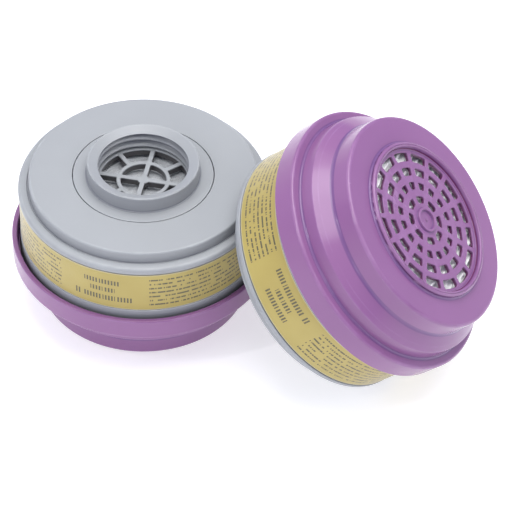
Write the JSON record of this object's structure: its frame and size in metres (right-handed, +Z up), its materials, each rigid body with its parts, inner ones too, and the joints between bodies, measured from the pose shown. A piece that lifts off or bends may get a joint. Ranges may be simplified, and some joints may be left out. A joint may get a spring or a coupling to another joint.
{
  "type": "respirator cartridge pair",
  "caption": "Twin threaded respirator cartridges: grey gas canister with a push-on purple particulate filter cup; one stands, one leans on it.",
  "frame": {"origin": "centre of the bounding box's bottom face, on the table", "axes": "+Z up; +X from the standing cartridge to the leaning one, the longest extent; -Y towards the viewer"},
  "size_m": [0.195, 0.1358, 0.1032],
  "materials": {
    "grey_plastic": "moulded satin",
    "purple_plastic": "moulded semi-gloss",
    "label": "satin printed film",
    "filter_media": "glossy web over pleated glass fibre",
    "potting": "cast resin",
    "gasket_rubber": "matte",
    "fibre_pad": "felted fibre",
    "sorbent": "granular charcoal"
  },
  "bodies": {
    "left_filter": {"left_filter_housing": "purple_plastic", "left_pleated_media": "filter_media", "left_media_frame": "potting", "left_filter_back_grid": "purple_plastic", "left_filter_gasket": "gasket_rubber"},
    "left_canister": {"left_canister_shell": "grey_plastic", "left_canister_label": "label", "left_inlet_dust_pad": "fibre_pad", "left_sorbent_bed": "sorbent", "left_outlet_fines_pad": "fibre_pad", "left_mask_side_cover": "grey_plastic", "left_threaded_neck": "grey_plastic"},
    "right_canister": {"right_canister_shell": "grey_plastic", "right_canister_label": "label", "right_inlet_dust_pad": "fibre_pad", "right_sorbent_bed": "sorbent", "right_outlet_fines_pad": "fibre_pad", "right_mask_side_cover": "grey_plastic", "right_threaded_neck": "grey_plastic"},
    "right_filter": {"right_filter_housing": "purple_plastic", "right_pleated_media": "filter_media", "right_media_frame": "potting", "right_filter_back_grid": "purple_plastic", "right_filter_gasket": "gasket_rubber"}
  },
  "joints": [
    {"name": "left_canister_pull", "type": "slide", "parent": "left_filter", "child": "left_canister", "axis": [0, 0, 1], "range_m": [0, 0.03]},
    {"name": "right_cartridge_lift", "type": "slide", "parent": "left_canister", "child": "right_canister", "axis": [0.6873, -0.1765, 0.7046], "range_m": [0, 0.06]},
    {"name": "right_filter_pull", "type": "slide", "parent": "right_canister", "child": "right_filter", "axis": [0.6873, -0.1765, 0.7046], "range_m": [0, 0.03]}
  ]
}
